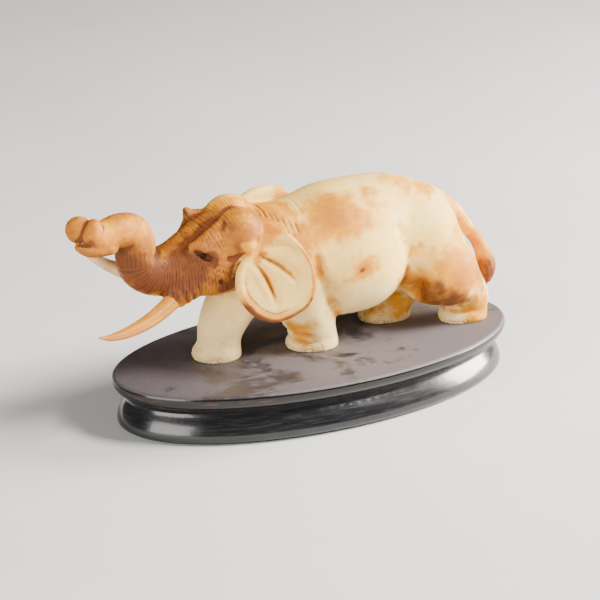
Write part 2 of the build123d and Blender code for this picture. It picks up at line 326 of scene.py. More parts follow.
# The far ear's upper edge, rolled and thick where it shows over the neck.
FAR_EAR_TOP = [
    (-27.0, 13.6, 74.6, 2.2), (-22.8, 14.8, 77.0, 2.3), (-16.8, 15.6, 78.7, 2.4),
    (-10.2, 15.8, 78.7, 2.3), (-5.8, 15.8, 77.4, 2.2),
]
LEFT_TUSK = [
    (-60.5, -3.8, 52.6, 3.3), (-64.2, -4.8, 50.4, 3.25), (-71.2, -6.6, 47.0, 2.95),
    (-78.2, -8.0, 44.7, 2.55), (-86.1, -9.0, 43.1, 1.95), (-92.4, -9.5, 42.9, 1.2),
    (-96.6, -9.6, 43.7, 0.45),
]
RIGHT_TUSK = [
    (-60.5, 8.8, 54.4, 3.3), (-64.8, 10.4, 54.6, 3.2), (-71.5, 12.0, 56.8, 2.9),
    (-78.5, 12.8, 60.4, 2.5), (-85.0, 13.0, 64.4, 1.95), (-90.5, 12.8, 68.8, 1.2),
    (-93.6, 12.6, 72.0, 0.45),
]
LEGS = {
    "left_front": [
        (-11.5, -3.5, 54.5, 12.5), (-9.6, -4.6, 46.5, 11.6), (-7.1, -4.2, 39.0, 10.9),
        (-4.7, -3.2, 32.6, 10.3), (-2.6, -2.4, 27.4, 9.0), (-1.2, -1.8, 21.0, 9.2),
    ],
    "right_front": [
        (-18.0, 7.0, 53.0, 12.0), (-25.9, 7.8, 45.6, 11.0), (-31.4, 7.5, 40.9, 10.2),
        (-34.9, 7.0, 36.7, 9.6), (-37.8, 6.6, 31.3, 8.8), (-38.7, 6.5, 26.2, 8.3),
        (-38.9, 6.5, 21.0, 8.7),
    ],
    "left_hind": [
        (55.6, -7.4, 41.0, 12.6), (61.7, -7.6, 34.4, 10.2), (66.4, -7.2, 29.4, 8.5),
        (67.4, -7.0, 25.5, 7.5), (66.9, -7.0, 21.4, 7.9),
    ],
    "right_hind": [
        (44.2, 10.0, 43.0, 13.5), (44.2, 10.4, 34.0, 10.5), (42.6, 10.2, 27.6, 8.6),
        (41.0, 10.0, 24.0, 8.2), (40.4, 9.8, 21.0, 8.6),
    ],
}
# Feet as (x, y), half length, half width: the toes spread forward of the leg.
FEET = {
    "left_front": ((-3.8, -1.8), 9.3, 8.7),
    "right_front": ((-40.6, 6.5), 9.0, 8.8),
    "left_hind": ((63.2, -7.0), 8.9, 8.3),
    "right_hind": ((36.6, 9.8), 9.4, 8.6),
}
TAIL = [
    (50.0, 2.5, 70.0, 5.6), (56.0, 2.5, 67.6, 5.0), (63.4, 2.5, 63.2, 4.0), (67.4, 2.5, 59.8, 3.3),
    (70.4, 2.5, 56.3, 2.9), (76.0, 2.2, 49.4, 2.8), (79.2, 1.9, 43.9, 3.0), (80.9, 1.4, 39.2, 3.7),
    (80.9, 0.8, 36.0, 4.1), (80.3, 0.2, 32.8, 3.2), (79.5, -0.4, 30.0, 1.3),
]
EYE_CENTRE = {"left": (-52.7, -7.7, 67.0), "right": (-47.1, 10.5, 66.4)}

# Radius of the eye beads.
BEAD_RADIUS = 1.1
# Creases on both flanks and temples as (x, distance from the middle, z, radius).
BELLY_CREASE = [
    (29.6, 18.6, 65.6, 1.2), (32.2, 19.6, 60.2, 2.0), (34.8, 20.0, 53.8, 2.4), (37.0, 19.4, 46.6, 2.6),
    (38.4, 16.8, 40.4, 2.6), (38.8, 12.6, 35.4, 2.4),
]
ELBOW_CREASE = [
    (-9.8, 20.4, 61.0, 0.3), (-7.6, 20.4, 53.0, 0.6), (-3.4, 19.6, 45.0, 1.0), (0.4, 17.4, 39.0, 1.3),
]
TAIL_SLIT = [
    (63.5, 2.8, 59.4, 0.7), (66.2, 3.9, 55.2, 1.3), (69.4, 4.9, 50.6, 1.7), (71.9, 5.5, 46.0, 1.9),
    (73.8, 5.7, 41.1, 1.9),
]
TEMPLE_CREASE = [
    (-44.6, 10.6, 78.4, 0.3), (-46.8, 13.0, 75.4, 0.5), (-46.0, 15.2, 71.6, 0.5), (-42.4, 17.0, 68.4, 0.5),
    (-38.4, 18.2, 66.2, 0.4),
]
NAPE_CREASE = [
    (-27.4, 6.6, 79.2, 0.4), (-27.4, 10.8, 77.0, 0.8), (-28.8, 14.8, 73.4, 1.0), (-31.2, 17.2, 69.8, 1.0),
    (-34.6, 18.6, 67.0, 0.7),
]
# Ridges of the skull.
TEMPLE_ROOT = [
    (-37.4, -6.2, 72.6, 7.4), (-36.8, -8.2, 70.2, 6.0), (-36.4, -10.6, 68.2, 4.4), (-36.4, -13.0, 66.8, 2.6),
]
FOREHEAD_RIDGE = [
    (-38.0, 5.0, 76.6, 3.2), (-41.0, 5.0, 74.6, 3.0), (-47.8, 4.8, 72.8, 2.8), (-55.5, 4.0, 70.6, 2.8),
    (-62.3, 3.0, 66.4, 2.6),
]
FAR_BROW_TOP = [
    (-36.0, 9.6, 73.4, 6.0), (-41.0, 9.8, 74.8, 3.6), (-45.0, 10.2, 75.8, 2.8), (-48.0, 10.4, 77.2, 1.9),
    (-49.8, 10.4, 78.8, 1.0),
]
FAR_BROW_FRONT = [
    (-49.9, 10.4, 78.6, 1.0), (-49.2, 10.0, 76.0, 2.0), (-48.6, 9.2, 72.6, 3.6), (-49.4, 8.0, 68.8, 5.0),
    (-52.0, 7.0, 66.2, 5.4),
]
NEAR_BROW = [
    (-39.0, -2.6, 77.2, 2.2), (-42.5, -3.6, 75.8, 2.4), (-46.8, -4.2, 73.8, 2.3), (-50.4, -5.0, 72.0, 2.1),
    (-53.6, -5.8, 70.8, 1.9), (-56.0, -6.2, 69.6, 1.4),
]
FOREHEAD_HOLLOW = [
    (-38.0, -0.6, 81.0, 1.2), (-41.0, -1.0, 79.2, 1.9), (-45.6, -1.2, 77.4, 2.3), (-51.0, -2.0, 75.2, 2.4),
    (-55.4, -3.0, 73.0, 1.6),
]
JAW = [
    (-58.0, MID_Y, 55.0, 5.6), (-50.0, MID_Y, 54.4, 5.4),
    (-40.0, MID_Y, 51.6, 5.8), (-31.0, MID_Y, 50.0, 7.0),
]
# Forms of each side of the face: rows of (x, distance from the middle, z, radius), fillet, cut away or added.
FACE_FORMS = [
    # The heavy fold over the eye, the lower lid and the narrow socket between them.
    (
        [
            (-56.8, 8.4, 70.6, 0.8), (-54.8, 10.0, 70.2, 1.3), (-52.2, 11.2, 68.8, 1.6),
            (-49.8, 12.0, 67.2, 1.5), (-47.4, 12.6, 66.2, 1.0),
        ],
        2.2,
        False,
    ),
    ([(-55.0, 10.4, 66.4, 0.4), (-53.4, 11.1, 65.0, 0.6), (-51.4, 11.7, 64.4, 0.4)], 2.2, False),
    (
        [
            (-55.8, 10.2, 69.2, 0.3), (-54.2, 11.2, 67.8, 0.8),
            (-52.5, 12.0, 66.6, 1.35), (-51.2, 12.5, 66.0, 0.9),
        ],
        1.2,
        True,
    ),
    # The crease and the fold that run back to the ear.
    ([(-44.0, 14.4, 65.2, 0.2), (-41.0, 15.4, 65.3, 0.3), (-38.4, 16.8, 65.6, 0.2)], 2.0, True),
    ([(-46.6, 12.4, 63.6, 0.7), (-41.4, 13.6, 64.0, 0.9), (-37.0, 16.0, 65.2, 1.0)], 1.2, False),
    # The open corner of the mouth, with a roll of skin in front.
    ([(-48.6, 12.2, 58.0, 0.4), (-46.6, 12.9, 56.2, 0.7), (-44.4, 13.3, 53.4, 0.5)], 1.4, True),
    ([(-47.6, 11.4, 54.4, 0.4), (-45.4, 12.6, 52.6, 0.8), (-43.4, 13.0, 50.6, 0.7)], 2.0, True),
    ([(-50.4, 10.6, 57.6, 0.9), (-47.8, 11.6, 55.6, 1.0), (-46.0, 11.8, 53.0, 0.8)], 1.0, False),
]
# Rolled wrinkles round each tusk's lip: centre, direction the tusk leaves in, radius.
LEFT_LIP, RIGHT_LIP = (-0.85, -0.22, -0.48), (-0.93, 0.35, 0.05)
LIP_RINGS = [
    ((-57.8, -2.8, 54.2), LEFT_LIP, 5.9),
    ((-60.4, -3.6, 52.8), LEFT_LIP, 5.1),
    ((-62.8, -4.4, 51.3), LEFT_LIP, 4.1),
    ((-58.8, 8.0, 54.6), RIGHT_LIP, 5.4),
    ((-61.2, 8.9, 54.6), RIGHT_LIP, 4.7),
    ((-63.4, 9.9, 54.6), RIGHT_LIP, 3.9),
]
# The trunk's column is hollowed on the near side; its tip has two lobes, a cleft and a lower finger.
COLUMN_HOLLOW = [
    (-82.0, -7.6, 76.0, 0.5), (-83.6, -6.2, 71.6, 1.8), (-84.2, -4.6, 66.8, 2.2), (-82.2, -5.4, 62.0, 1.4),
]
FINGER = [
    (-88.0, -2.8, 74.8, 3.0), (-93.5, -3.8, 75.2, 3.0), (-97.4, -4.0, 75.9, 2.7), (-100.4, -3.8, 77.2, 2.0),
]
CLEFT = [
    (-95.2, -2.4, 87.0, 0.3), (-97.6, -3.6, 85.4, 0.4), (-99.8, -4.3, 82.2, 0.45), (-100.4, -4.0, 79.0, 0.4),
]
NOSTRIL_SLIT = [(-102.4, -3.4, 78.4, 0.3), (-100.2, -5.0, 77.9, 0.45), (-98.0, -6.0, 77.9, 0.25)]


def sculpt():
    """The whole elephant as one field."""
    clay = Clay((-108, -34, 18), (92, 38, 90), 0.5)
    sculpt_body(clay)
    sculpt_skull(clay)
    clay.tube(TRUNK_PATH, soft=2.5, steps=8)
    sculpt_face(clay)
    sculpt_trunk_tip(clay)
    clay.tube(TAIL, soft=1.2)
    for ear in EARS.values():
        sculpt_ear(clay, ear)
    clay.tube(FAR_EAR_TOP, soft=0.8)
    clay.tube([(x, y + 0.4, z - 3.2, r + 0.3) for x, y, z, r in FAR_EAR_TOP], soft=3.0)
    clay.floor(STAND_TOP)
    return clay


def cut_both_sides(clay, creases):
    """Cuts (crease, fillet, far shift) rows on the near side, then mirrored, the far ones shifted along X."""
    for side in (1, -1):
        for crease, soft, far_shift in creases:
            shift = 0 if side == 1 else far_shift
            clay.tube([(x + shift, MID_Y - side * off, z, r) for x, off, z, r in crease], soft=soft, cut=True)


def sculpt_body(clay):
    upright = {"along": (0.25, 0, 1), "up": (1, 0, 0)}
    clay.barrel(TORSO, soft=4)
    # The belly hangs as its own round form between the shoulders and the thighs.
    clay.egg((9.5, MID_Y, 56.0), (28.5, 23.6, 26.2), soft=2.5)
    clay.egg((17.0, 1.0, 51.0), (22.0, 21.0, 20.5), soft=2.0)
    clay.egg((-10.0, -6.0, 58.0), (14.0, 11.0, 17.0), soft=5, **upright)
    clay.egg((-15.0, 12.0, 58.0), (14.0, 10.0, 17.0), soft=5, **upright)
    # Thighs swell out of the flanks, with a crease where the belly meets them.
    clay.egg((50.8, -7.4, 43.0), (16.4, 13.6, 14.4), along=(1, 0, -0.35), soft=2.6)
    clay.egg((48.6, 12.2, 45.0), (16.0, 12.4, 14.6), along=(1, 0, -0.35), soft=3.0)
    clay.egg((46.0, MID_Y, 60.0), (17.0, 15.8, 15.0), along=(1, 0, -0.6), soft=5)
    for name, stations in LEGS.items():
        clay.tube(stations, soft=1.8 if "front" in name else 3.0)
    for (x, y), half_length, half_width in FEET.values():
        clay.egg((x, y, 22.3), (half_length, half_width, 4.6), along=(1, 0, 0.10), soft=1.4)
    cut_both_sides(clay, [(BELLY_CREASE, 3.0, 0), (ELBOW_CREASE, 3.2, 0)])
    cut_both_sides(clay, [(TAIL_SLIT, 1.0, 0)])
    # Ankles pinch in over the toes.
    turns = np.radians(np.linspace(130.0, 235.0, 7))
    clear, height, radius = 0.7, 27.8, 1.2
    for name in ("left_front", "left_hind", "right_hind"):
        (x, y), half_length, half_width = FEET[name]
        across, wide = half_length + clear, half_width + clear
        pinch = [(x + across * cos(a), y + wide * sin(a), height, radius) for a in turns]
        clay.tube(pinch, soft=1.8, cut=True, steps=3)


def sculpt_skull(clay):
    clay.egg((-25.0, MID_Y, 62.5), (18.0, 14.0, 15.5), along=(1, 0, 0.1), soft=6)
    clay.egg((-37.0, MID_Y, 62.0), (14.5, 12.4, 14.5), along=(1, 0, 0.2), soft=4)
    # Temples with the dome between them.
    clay.egg((-33.5, 7.0, 72.2), (11.4, 9.6, 11.0), along=(0.9, 0.1, -0.4), soft=2.0)
    clay.egg((-36.8, -5.2, 73.4), (9.4, 8.2, 8.6), along=(0.86, -0.5, -0.1), soft=1.4)
    clay.tube(TEMPLE_ROOT, soft=1.6)
    # The ridge down the middle of the forehead and the far brow, which stands up like a small horn.
    clay.tube(FOREHEAD_RIDGE, soft=2.2)
    clay.tube(FAR_BROW_TOP, soft=1.6)
    clay.tube(FAR_BROW_FRONT, soft=1.6)
    # The near brow ridge, running down to the eye, and the smooth swelling behind each eye.
    clay.tube(NEAR_BROW, soft=2.6)
    clay.egg((-47.0, -6.2, 68.8), (7.4, 4.6, 4.6), along=(0.90, -0.22, -0.3), soft=4.0)
    clay.egg((-44.6, 12.6, 69.8), (7.0, 3.8, 3.4), along=(0.84, 0.26, -0.47), soft=1.6)
    # A hollow runs down between the forehead's ridge and the near brow, and soft creases round the temples.
    clay.tube(FOREHEAD_HOLLOW, soft=2.4, cut=True)
    cut_both_sides(clay, [(TEMPLE_CREASE, 3.2, 3.0), (NAPE_CREASE, 1.6, 2.0)])


def near_side(x, off, z, r):
    return (x, MID_Y - off, z, r)


def far_side(x, off, z, r):
    """The head is turned a little, so the far side of the face is further back, lower and closer in."""
    return (x + 5.6, MID_Y + off - 2.2, z - 0.6, r)


def sculpt_face(clay):
    # Cheeks and jaw.
    clay.egg((-44.5, -4.4, 58.8), (11.5, 7.2, 8.4), along=(0.95, -0.1, 0.2), soft=3.0)
    clay.egg((-44.5, 10.0, 60.2), (11.5, 7.0, 8.4), along=(0.95, 0.1, 0.2), soft=3.0)
    clay.tube(JAW, soft=3.5)
    for placed in (near_side, far_side):
        for stations, soft, cut in FACE_FORMS:
            clay.tube([placed(*row) for row in stations], soft=soft, cut=cut)
    # Lips round the tusks, each with rolled wrinkles.
    clay.tube([(-52.0, -1.4, 57.0, 6.2), (-58.4, -2.9, 53.8, 5.5), (-62.6, -4.2, 51.4, 4.2)], soft=2.2)
    clay.tube([(-52.0, 6.6, 57.6, 6.2), (-58.6, 8.0, 54.8, 5.5), (-62.8, 9.6, 54.4, 4.2)], soft=2.2)
    for root, heading, radius in LIP_RINGS:
        ring_on(clay, root, heading, radius, 0.65)


def sculpt_trunk_tip(clay):
    lobe_up = (-0.5, -0.8, 0.3)
    clay.tube(COLUMN_HOLLOW, soft=3.0, cut=True)
    clay.tube([(-91.0, -1.2, 78.6, 5.2), (-95.0, -2.0, 79.6, 4.9)], soft=1.5)
    clay.egg((-98.6, 0.4, 82.2), (5.0, 5.0, 4.0), along=(0.22, 0.10, 0.94), up=lobe_up, soft=0.8)
    clay.egg((-95.6, -4.0, 82.0), (5.0, 3.6, 3.6), along=(0.36, 0.10, 0.90), up=lobe_up, soft=0.6)
    clay.tube(FINGER, soft=0.9)
    clay.tube(CLEFT, soft=0.3, cut=True)
    clay.tube(NOSTRIL_SLIT, soft=0.8, cut=True)


def ear_axes(ear):
    """The directions along, up and out of an ear's sheet."""
    facing = unit(ear["facing"])
    along = unit(np.asarray(ear["along"], float) - facing * np.dot(facing, ear["along"]))
    up = np.cross(facing, along)
    return along, (up if up[2] > 0 else -up), facing


def line_gap(s, t, line):
    """Distance in the plane from (s, t) to a smooth line, and how far along it is nearest, 0 to 1."""
    path = smooth_path(line, 4)
    best = np.full(np.shape(s), 1e9)
    place = np.zeros(np.shape(s))
    last = len(path) - 2
    for index, (a, b) in enumerate(zip(path[:-1], path[1:])):
        edge = b - a
        along = np.clip(((s - a[0]) * edge[0] + (t - a[1]) * edge[1]) / float(edge @ edge), 0, 1)
        gap = np.hypot(s - a[0] - along * edge[0], t - a[1] - along * edge[1])
        nearer = gap < best
        best = np.where(nearer, gap, best)
        place = np.where(nearer, (index + along) / (last + 1), place)
    return best, place


def ear_bend(ear, s, t):
    """How far an ear's sheet stands off its plane: dished, pleated, its top laid back against the neck."""
    bend = (s**2 + t**2) / 92.0 - ear["lay"] * np.maximum(t - 3.0, 0) ** 2
    for line, depth, width in zip(EAR_PLEATS, PLEAT_DEPTHS, PLEAT_WIDTHS):
        gap, place = line_gap(s, t, line)
        bend = bend - depth * np.sin(np.pi * (0.08 + 0.84 * place)) * np.exp(-((gap / width) ** 2))
    gap, place = line_gap(s, t, EAR_FOLD)
    return bend + 1.0 * np.sin(np.pi * place) * np.exp(-((gap / 1.3) ** 2))


def sculpt_ear(clay, ear):
    """The bent sheet, with a rolled rim along its front edge."""
    along, up, facing = axes = ear_axes(ear)
    centre = np.asarray(ear["centre"])
    clay.plate(centre, axes, EAR_OUTLINE, EAR_THICK, lambda s, t: ear_bend(ear, s, t), soft=1.2)
    rim = []
    for s, t, radius in EAR_ROLL:
        place = centre + s * along + t * up + (ear_bend(ear, s, t) + ROLL_LIFT) * facing
        rim.append((*place, radius * ROLL_SWELL))
    clay.tube(rim, soft=0.7, steps=4)


def ring_on(clay, centre, heading, ring_radius, thickness):
    """A rolled fold of skin that goes round a lip, thickest on top."""
    heading = unit(heading)
    side = unit(np.cross(heading, (0, 0, 1)))
    lift = np.cross(side, heading)
    turns = np.linspace(0, 2 * np.pi, 13)
    rows = []
    for a in turns:
        place = np.asarray(centre) + ring_radius * (np.cos(a) * side + np.sin(a) * lift)
        rows.append((*place, thickness * (0.6 + 0.4 * np.sin(a))))
    clay.tube(rows, soft=1.5, steps=2)


def skin_mesh(clay, coarsen):
    """Vertices and four-sided faces of the clay's surface."""
    field = clay.field[::coarsen, ::coarsen, ::coarsen] / (clay.step * coarsen)
    grid = openvdb.FloatGrid(background=FAR_AWAY)
    grid.copyFromArray(np.ascontiguousarray(field))
    points, quads = grid.convertToQuads(isovalue=0.0)
    points = points.astype(float) * clay.step * coarsen + clay.low
    return points, quads[:, ::-1].astype(np.int64)


def settle(clay, points, rounds=3):
    """Moves points onto the surface."""
    for _ in range(rounds):
        points = points - clay.slope(points) * clay.read(points)[:, None] * 0.9
    return points


def mesh_object(name, points, faces):
    """A smooth-shaded object from points in millimetres."""
    mesh = bpy.data.meshes.new(name)
    mesh.vertices.add(len(points))
    mesh.vertices.foreach_set("co", (np.asarray(points) * MM).astype(np.float32).ravel())
    sides = faces.shape[1]
    mesh.loops.add(faces.size)
    mesh.loops.foreach_set("vertex_index", faces.astype(np.int32).ravel())
    mesh.polygons.add(len(faces))
    mesh.polygons.foreach_set("loop_start", np.arange(0, faces.size, sides, dtype=np.int32))
    mesh.polygons.foreach_set("use_smooth", np.ones(len(faces), bool))
    mesh.update(calc_edges=True)
    mesh.validate()
    thing = bpy.data.objects.new(name, mesh)
    bpy.context.scene.collection.objects.link(thing)
    return thing


def tapered(name, stations):
    """A closed round tube as its own mesh object."""
    around, steps = 24, 10
    path = smooth_path(stations, steps)
    heading = np.gradient(path[:, :3], axis=0)
    heading /= np.linalg.norm(heading, axis=1, keepdims=True)
    side = np.cross(heading, (0, 0, 1))
    side /= np.linalg.norm(side, axis=1, keepdims=True)
    lift = np.cross(side, heading)
    turns = np.linspace(0, 2 * np.pi, around, endpoint=False)
    circle = np.cos(turns)[None, :, None] * side[:, None] + np.sin(turns)[None, :, None] * lift[:, None]
    rings = path[:, None, :3] + circle * path[:, None, 3:4]
    points = np.vstack([rings.reshape(-1, 3), path[:1, :3], path[-1:, :3] + heading[-1:] * path[-1, 3] * 0.7])
    faces = []
    for i in range(len(path) - 1):
        for j in range(around):
            k = (j + 1) % around
            faces.append((i * around + j, i * around + k, (i + 1) * around + k, (i + 1) * around + j))
    tip, last = len(points) - 1, (len(path) - 1) * around
    mesh = bpy.data.meshes.new(name)
    caps = [(tip - 1, (j + 1) % around, j) for j in range(around)]
    caps += [(tip, last + j, last + (j + 1) % around) for j in range(around)]
    mesh.from_pydata((points * MM).tolist(), [], faces + caps)
    mesh.polygons.foreach_set("use_smooth", np.ones(len(mesh.polygons), bool))
    mesh.update()
    thing = bpy.data.objects.new(name, mesh)
    bpy.context.scene.collection.objects.link(thing)
    return thing


# ------------------------------------------------------------------ engraving and stain

NOISE_CELLS = 32

# Engraving: spacing of the cuts, how far they wander, and their depth, in millimetres.
RING_SPACING, RING_WANDER, RING_DEPTH = 1.12, 1.7, 0.20
STREAK_SPACING, STREAK_WANDER, STREAK_DEPTH = 1.5, 2.2, 0.22
FOLD_SPACING, FOLD_WANDER, FOLD_DEPTH = 2.1, 0.9, 0.5
CROW_RATE, CROW_WANDER, CROW_DEPTH = 34.0, 1.2, 0.35
BAND_DEPTH, PUCKER_DEPTH, HAIR_DEPTH = 0.42, 0.35, 0.35
NAIL_WIDTH, NAIL_DEPTH = 0.4, 0.5
NAIL_RADII = (1.7, 3.0, 4.3, 5.5)
# Where the toes sit round the front of a foot, in degrees from straight ahead.
TOE_TURNS = (-62.0, 0.0, 62.0)
PLEAT_WEIGHTS = (0.5, 1.0, 1.0)
# The line the rings are cut across: two stations inside the neck, then the trunk.
NECK_STATIONS = [(-16.0, 2.5, 68.0, 14.0), (-30.0, 2.5, 66.0, 15.0)]


def lattice_noise(points, size, seed):
    """Smooth noise between -1 and 1 with features about size millimetres across."""
    numbers = np.random.default_rng(seed).uniform(-1, 1, (NOISE_CELLS,) * 3)
    at = points / size
    base = np.floor(at).astype(int)
    f = at - base
    f = f * f * (3 - 2 * f)
    total = 0
    for dx, dy, dz, share in grid_corners(f):
        cell = (base + (dx, dy, dz)) % NOISE_CELLS
        total = total + share * numbers[cell[:, 0], cell[:, 1], cell[:, 2]]
    return total


def blob(points, centre, radii):
    """1 at the centre of an ellipsoid, fading to 0 at its edge."""
    gap = np.linalg.norm((points - np.asarray(centre)) / np.asarray(radii), axis=1)
    return 1 - smooth_step(0.25, 1.0, gap)


def line_mark(points, path, width):
    """1 along a path of points, fading over width."""
    gap, _, _ = along_path(points, smooth_path(path, 5))
    return np.exp(-((gap / width) ** 2))


def ripple(phase, power):
    """A wave between 0 and 1, narrowed by a power."""
    return (0.5 + 0.5 * np.sin(phase)) ** power


def ear_marks(points):
    """How much of each ear mark shows at every point."""
    names = ("ear", "pleat_stain_and_shade", "rim", "ear_edge", "ear_low", "ear_top")
    marks = {name: np.zeros(len(points)) for name in names}

    def show(name, amount):
        marks[name] = np.maximum(marks[name], amount)

    for ear in EARS.values():
        along, up, facing = ear_axes(ear)
        local = points - np.asarray(ear["centre"])
        s, t, n = local @ along, local @ up, local @ facing
        level = np.abs(n - ear_bend(ear, s, t))
        inward = -outline_gap(s, t, closed_ring(EAR_OUTLINE))
        past_top = smooth_step(9.0, 14.0, t) * smooth_step(-2.0, -5.0, s)
        on_ear = smooth_step(4.2, 3.2, level) * smooth_step(-2.2, -1.4, inward) * (1 - past_top)
        show("ear", on_ear)
        low_front = smooth_step(0.0, -8.0, t) * smooth_step(8.0, 2.0, s)
        rolled = smooth_step(2.6, 3.1, inward) * smooth_step(3.9, 3.3, inward)
        show("rim", on_ear * rolled * (0.45 + low_front))
        # Each pleat's valley gets stain and painted shade.
        for line, weight in zip(EAR_PLEATS, PLEAT_WEIGHTS):
            gap, place = line_gap(s, t, line)
            shade = weight * np.sin(np.pi * (0.08 + 0.84 * place)) * np.exp(-((gap / 0.9) ** 2))
            show("pleat_stain_and_shade", on_ear * shade)
        front_corner = smooth_step(1.0, -4.0, s) * smooth_step(-12.0, -8.0, t)
        lower = smooth_step(8.0, -2.0, t - 0.5 * s) * (1 - 0.85 * front_corner)
        show("ear_edge", on_ear * smooth_step(2.4, 0.6, inward) * (0.12 + 0.88 * lower))
        show("ear_low", on_ear * smooth_step(7.0, 1.0, inward) * smooth_step(-3.0, -12.0, t))
        show("ear_top", on_ear * smooth_step(8.0, 15.0, t - 0.35 * s))
    return marks


def head_rings(points, wander, near_ear):
    """Rings cut across the trunk and face, and streaks down the trunk's upright part."""
    x, y, z = points.T
    spine = np.vstack([NECK_STATIONS, TRUNK_PATH])
    _, run, _ = along_path(points, smooth_path(spine, 8))
    on_head = smooth_step(-24.0, -38.0, x) * smooth_step(44.0, 48.0, z) * (1 - near_ear)
    upright = smooth_step(64.0, 67.5, z) * smooth_step(-66.5, -69.5, x)
    tip = smooth_step(-84.0, -88.0, x)
    near_temple = blob(points, (-37.0, -9.5, 71.0), (11, 12, 11))
    far_temple = blob(points, (-34.0, 10.0, 76.0), (12, 11, 10))
    smooth_temple = np.clip(1.3 * np.maximum(near_temple, far_temple), 0, 0.92)
    ringed = on_head * (1 - upright) * (1 - smooth_temple) * (1 - tip)
    wave = ripple(2 * np.pi * run / RING_SPACING + wander * RING_WANDER, 2)
    swirl = np.arctan2(y - MID_Y, x + 75.5) * 6.5
    streak = ripple(2 * np.pi * swirl / STREAK_SPACING + wander * STREAK_WANDER, 2)
    column = upright * smooth_step(80.0, 66.0, z) * smooth_step(44.0, 50.0, z)
    fade = 0.65 + 0.35 * lattice_noise(points, 5.0, 9)
    patchy = 0.8 + 0.3 * lattice_noise(points, 3.2, 31)
    depth = ringed * wave * RING_DEPTH * fade + column * streak * STREAK_DEPTH * fade
    return depth, np.clip((ringed * wave + 0.9 * column * streak) * patchy, 0, 1)


def neck_folds(points, wander, near_ear):
    """Wrinkles of the neck behind the ear."""
    x, _, z = points.T
    neck = blob(points, (-18.5, -3.0, 76.5), (13.0, 19.0, 14.0))
    neck = neck * (1 - near_ear) * smooth_step(-28.0, -25.0, x)
    slant = x + 0.10 * (75.0 - z)
    folds = ripple(2 * np.pi * slant / FOLD_SPACING + wander * FOLD_WANDER, 3)
    return np.clip(neck * 2.2, 0, 1) * folds * FOLD_DEPTH, np.clip(neck * 2.0, 0, 1) * folds


def cheek_creases(points, wander, near_ear):
    """Creases fanning out behind each eye and over the cheek."""
    x, _, z = points.T
    cheeks = blob(points, (-46.5, -9.5, 60.5), (10, 8, 8)) + blob(points, (-46.5, 14.5, 62.0), (10, 8, 8))
    fan = np.arctan2(z - 66.5, x + 58.0)
    mark = np.clip(cheeks, 0, 1) * ripple(fan * CROW_RATE + wander * CROW_WANDER, 3) * (1 - near_ear)
    return mark * CROW_DEPTH, mark


def toenails(points, normals):
    """Nested arcs round the toes at the front of each foot."""
    nails = np.zeros(len(points))
    for (fx, fy), half_length, half_width in FEET.values():
        for turn in TOE_TURNS:
            a = radians(180.0 + turn)
            toe = np.array([fx + half_length * cos(a), fy + half_width * sin(a), STAND_TOP + 0.2])
            away = np.linalg.norm((points - toe) * (1.0, 1.0, 1.15), axis=1)
            for radius in NAIL_RADII:
                arc = np.exp(-(((away - radius) / NAIL_WIDTH) ** 2)) * (1.2 - radius * 0.11)
                nails = np.maximum(nails, arc)
    mark = nails * smooth_step(28.5, 25.5, points[:, 2])
    on_side = smooth_step(0.2, -0.2, normals[:, 2] - 0.55)
    return mark * on_side * NAIL_DEPTH, mark


def loose_skin(points, wander):
    """Bands on the far hind leg, puckers at the belly's front, hair of the tail's tuft."""
    x, y, z = points.T
    bands = ripple(2 * np.pi * (x * 0.55 + z) / 1.9 + wander * 1.3, 3)
    bands = bands * blob(points, (44.0, 6.0, 27.5), (9, 9, 6))
    pucker = ripple(2 * np.pi * x / 3.4 + wander, 4) * blob(points, (12.0, -9.0, 33.0), (8, 12, 6))
    hair = ripple(np.arctan2(y - 0.6, x - 80.4) * 11 + z * 0.35 + wander, 2)
    hair = hair * blob(points, (80.6, 0.6, 36.0), (6, 6, 9))
    depth = bands * BAND_DEPTH + pucker * PUCKER_DEPTH + hair * HAIR_DEPTH
    return depth, np.clip(bands + 0.4 * pucker + 0.8 * hair, 0, 1)


def carve(points, normals):
    """Depth of carving at each vertex, in millimetres inward, and the marks that hold stain."""
    wander = lattice_noise(points, 6.0, 3) * 0.9 + lattice_noise(points, 2.6, 4) * 0.35
    marks = ear_marks(points)
    near_ear = marks["ear"]
    cuts = {
        "rings": head_rings(points, wander, near_ear),
        "neck": neck_folds(points, wander, near_ear),
        "cheek": cheek_creases(points, wander, near_ear),
        "nails": toenails(points, normals),
        "skin": loose_skin(points, wander),
    }
    depth = np.zeros(len(points))
    for name, (cut, mark) in cuts.items():
        depth += cut
        marks[name] = mark
    return depth, marks
